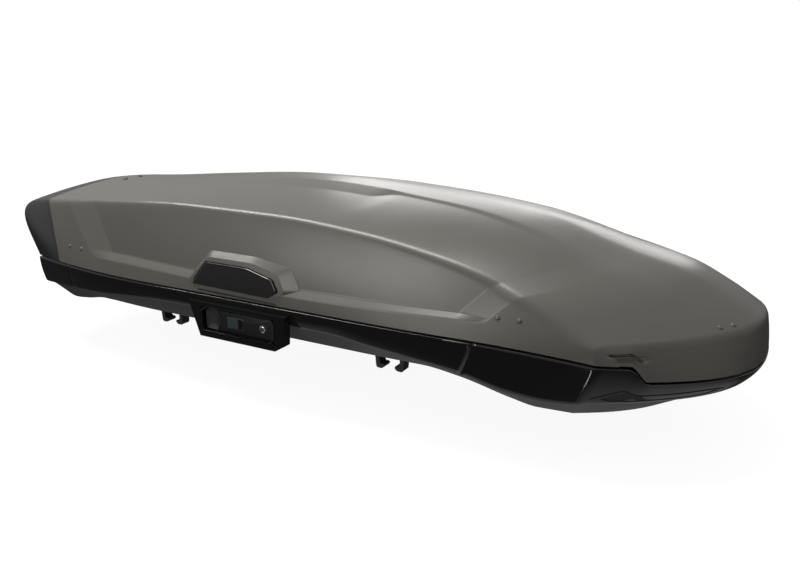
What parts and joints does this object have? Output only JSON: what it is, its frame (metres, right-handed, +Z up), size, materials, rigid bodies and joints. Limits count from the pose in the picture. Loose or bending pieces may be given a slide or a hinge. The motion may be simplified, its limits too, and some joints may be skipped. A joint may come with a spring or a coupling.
{
  "type": "roof cargo box",
  "caption": "Hard-shell car roof box with a clamshell lid that opens from either side, lock sliders, lid lifters and quick clamps for roof bars.",
  "frame": {"origin": "under the middle of the whole box, rear cap included, on the plane that the clamp claws reach; the middle of the base alone is about 43 mm ahead of it, because the rear cap overhangs the base", "axes": "+X towards the nose of the box (the front of the car), +Y to the left, +Z up"},
  "size_m": [2.2605, 0.872, 0.4316],
  "materials": {
    "lid": "satin, lightly textured, warm brown-grey",
    "cap": "satin black",
    "gloss": "gloss black",
    "tub": "grained black",
    "dark": "moulded dark grey",
    "rubber": "matt black",
    "felt": "needled felt",
    "steel": "zinc plated",
    "lens": "smoked window",
    "knob": "moulded mid grey"
  },
  "bodies": {
    "base": {"base_shell": "tub", "base_trim_right": "gloss", "base_trim_left": "gloss", "nose_trim": "gloss", "tail_trim": "gloss", "rim_seal": "rubber", "floor_liner": "felt", "floor_rail_right": "dark", "floor_rail_left": "dark", "lock_housing_right": "gloss", "lock_housing_left": "gloss", "clamp_housing_front_right": "dark", "clamp_housing_front_left": "dark", "clamp_housing_rear_right": "dark", "clamp_housing_rear_left": "dark", "clamp_foot_front_right": "rubber", "clamp_foot_front_left": "rubber", "clamp_foot_rear_right": "rubber", "clamp_foot_rear_left": "rubber", "strut_bracket_front_right": "dark", "strut_bracket_front_left": "dark", "strut_bracket_rear_right": "dark", "strut_bracket_rear_left": "dark"},
    "knob_front_right": {"clamp_knob_front_right": "knob"},
    "knob_front_left": {"clamp_knob_front_left": "knob"},
    "knob_rear_right": {"clamp_knob_rear_right": "knob"},
    "knob_rear_left": {"clamp_knob_rear_left": "knob"},
    "claw_front_right_a": {"claw_front_right_a": "dark"},
    "claw_front_right_b": {"claw_front_right_b": "dark"},
    "claw_front_left_a": {"claw_front_left_a": "dark"},
    "claw_front_left_b": {"claw_front_left_b": "dark"},
    "claw_rear_right_a": {"claw_rear_right_a": "dark"},
    "claw_rear_right_b": {"claw_rear_right_b": "dark"},
    "claw_rear_left_a": {"claw_rear_left_a": "dark"},
    "claw_rear_left_b": {"claw_rear_left_b": "dark"},
    "tube_front_right": {"strut_tube_front_right": "dark"},
    "tube_front_left": {"strut_tube_front_left": "dark"},
    "tube_rear_right": {"strut_tube_rear_right": "dark"},
    "tube_rear_left": {"strut_tube_rear_left": "dark"},
    "rod_front_right": {"strut_rod_front_right": "steel"},
    "rod_front_left": {"strut_rod_front_left": "steel"},
    "rod_rear_right": {"strut_rod_rear_right": "steel"},
    "rod_rear_left": {"strut_rod_rear_left": "steel"},
    "slider_right": {"slider_right": "gloss", "lens_right": "lens", "latch_bar_right": "steel"},
    "slider_left": {"slider_left": "gloss", "lens_left": "lens", "latch_bar_left": "steel"},
    "key_right": {"key_cylinder_right": "steel"},
    "key_left": {"key_cylinder_left": "steel"},
    "right_rail": {"right_hinge_rail": "steel"},
    "lid": {"lid_shell": "lid", "rear_cap": "cap", "badge_plate_right": "gloss", "badge_plate_left": "gloss", "left_hinge_rail": "steel", "lid_beam_front": "dark", "lid_beam_rear": "dark"}
  },
  "joints": [
    {"name": "opens_right", "type": "hinge", "parent": "base", "child": "right_rail", "pos_m": [0, 0.403, 0.187], "axis": [-1, 0, 0], "range_deg": [0, 50]},
    {"name": "opens_left", "type": "hinge", "parent": "right_rail", "child": "lid", "pos_m": [0, -0.403, 0.187], "axis": [-1, 0, 0], "range_deg": [-50, 0]},
    {"name": "strut_turn_front_right", "type": "hinge", "parent": "base", "child": "tube_front_right", "pos_m": [0.239, 0.37, 0.132], "axis": [-1, 0, 0], "range_deg": [0, 50.5]},
    {"name": "strut_turn_front_left", "type": "hinge", "parent": "base", "child": "tube_front_left", "pos_m": [0.261, -0.37, 0.132], "axis": [-1, 0, 0], "range_deg": [-50.5, 0]},
    {"name": "strut_turn_rear_right", "type": "hinge", "parent": "base", "child": "tube_rear_right", "pos_m": [-0.451, 0.37, 0.132], "axis": [-1, 0, 0], "range_deg": [0, 50.5]},
    {"name": "strut_turn_rear_left", "type": "hinge", "parent": "base", "child": "tube_rear_left", "pos_m": [-0.473, -0.37, 0.132], "axis": [-1, 0, 0], "range_deg": [-50.5, 0]},
    {"name": "strut_slide_front_right", "type": "slide", "parent": "tube_front_right", "child": "rod_front_right", "axis": [0, -0.9975, 0.071], "range_m": [0, 0.0545]},
    {"name": "strut_slide_front_left", "type": "slide", "parent": "tube_front_left", "child": "rod_front_left", "axis": [0, 0.9975, 0.071], "range_m": [0, 0.0545]},
    {"name": "strut_slide_rear_right", "type": "slide", "parent": "tube_rear_right", "child": "rod_rear_right", "axis": [0, -0.9975, 0.071], "range_m": [0, 0.0545]},
    {"name": "strut_slide_rear_left", "type": "slide", "parent": "tube_rear_left", "child": "rod_rear_left", "axis": [0, 0.9975, 0.071], "range_m": [0, 0.0545]},
    {"name": "knob_turn_front_right", "type": "hinge", "parent": "base", "child": "knob_front_right", "pos_m": [0.273, -0.3, 0.099], "axis": [0, 0, 1], "range_deg": [0, 1080]},
    {"name": "knob_turn_front_left", "type": "hinge", "parent": "base", "child": "knob_front_left", "pos_m": [0.273, 0.3, 0.099], "axis": [0, 0, 1], "range_deg": [0, 1080]},
    {"name": "knob_turn_rear_right", "type": "hinge", "parent": "base", "child": "knob_rear_right", "pos_m": [-0.487, -0.3, 0.099], "axis": [0, 0, 1], "range_deg": [0, 1080]},
    {"name": "knob_turn_rear_left", "type": "hinge", "parent": "base", "child": "knob_rear_left", "pos_m": [-0.487, 0.3, 0.099], "axis": [0, 0, 1], "range_deg": [0, 1080]},
    {"name": "claw_slide_front_right_a", "type": "slide", "parent": "base", "child": "claw_front_right_a", "axis": [-1, 0, 0], "range_m": [0, 0.02]},
    {"name": "claw_slide_front_right_b", "type": "slide", "parent": "base", "child": "claw_front_right_b", "axis": [1, 0, 0], "range_m": [0, 0.02]},
    {"name": "claw_slide_front_left_a", "type": "slide", "parent": "base", "child": "claw_front_left_a", "axis": [-1, 0, 0], "range_m": [0, 0.02]},
    {"name": "claw_slide_front_left_b", "type": "slide", "parent": "base", "child": "claw_front_left_b", "axis": [1, 0, 0], "range_m": [0, 0.02]},
    {"name": "claw_slide_rear_right_a", "type": "slide", "parent": "base", "child": "claw_rear_right_a", "axis": [-1, 0, 0], "range_m": [0, 0.02]},
    {"name": "claw_slide_rear_right_b", "type": "slide", "parent": "base", "child": "claw_rear_right_b", "axis": [1, 0, 0], "range_m": [0, 0.02]},
    {"name": "claw_slide_rear_left_a", "type": "slide", "parent": "base", "child": "claw_rear_left_a", "axis": [-1, 0, 0], "range_m": [0, 0.02]},
    {"name": "claw_slide_rear_left_b", "type": "slide", "parent": "base", "child": "claw_rear_left_b", "axis": [1, 0, 0], "range_m": [0, 0.02]},
    {"name": "lock_slide_right", "type": "slide", "parent": "base", "child": "slider_right", "axis": [-1, 0, 0], "range_m": [0, 0.038]},
    {"name": "lock_slide_left", "type": "slide", "parent": "base", "child": "slider_left", "axis": [-1, 0, 0], "range_m": [0, 0.038]},
    {"name": "key_turn_right", "type": "hinge", "parent": "slider_right", "child": "key_right", "pos_m": [-0.042, -0.4329, 0.093], "axis": [0, -1, 0], "range_deg": [0, 90]},
    {"name": "key_turn_left", "type": "hinge", "parent": "slider_left", "child": "key_left", "pos_m": [-0.042, 0.4329, 0.093], "axis": [0, 1, 0], "range_deg": [0, 90]}
  ],
  "couplings": [
    {"joint": "strut_turn_front_right", "follows": "opens_right", "ratio": 1.0025},
    {"joint": "strut_turn_rear_right", "follows": "opens_right", "ratio": 1.0025},
    {"joint": "strut_turn_front_left", "follows": "opens_left", "ratio": 1.0025},
    {"joint": "strut_turn_rear_left", "follows": "opens_left", "ratio": 1.0025},
    {"joint": "strut_slide_front_right", "follows": "opens_right", "m_per_rad": 0.06209},
    {"joint": "strut_slide_rear_right", "follows": "opens_right", "m_per_rad": 0.06209},
    {"joint": "strut_slide_front_left", "follows": "opens_left", "m_per_rad": -0.06209},
    {"joint": "strut_slide_rear_left", "follows": "opens_left", "m_per_rad": -0.06209},
    {"joint": "knob_turn_front_right", "follows": "claw_slide_front_right_a", "rad_per_m": 942},
    {"joint": "claw_slide_front_right_b", "follows": "claw_slide_front_right_a", "ratio": 1},
    {"joint": "knob_turn_front_left", "follows": "claw_slide_front_left_a", "rad_per_m": 942},
    {"joint": "claw_slide_front_left_b", "follows": "claw_slide_front_left_a", "ratio": 1},
    {"joint": "knob_turn_rear_right", "follows": "claw_slide_rear_right_a", "rad_per_m": 942},
    {"joint": "claw_slide_rear_right_b", "follows": "claw_slide_rear_right_a", "ratio": 1},
    {"joint": "knob_turn_rear_left", "follows": "claw_slide_rear_left_a", "rad_per_m": 942},
    {"joint": "claw_slide_rear_left_b", "follows": "claw_slide_rear_left_a", "ratio": 1}
  ]
}
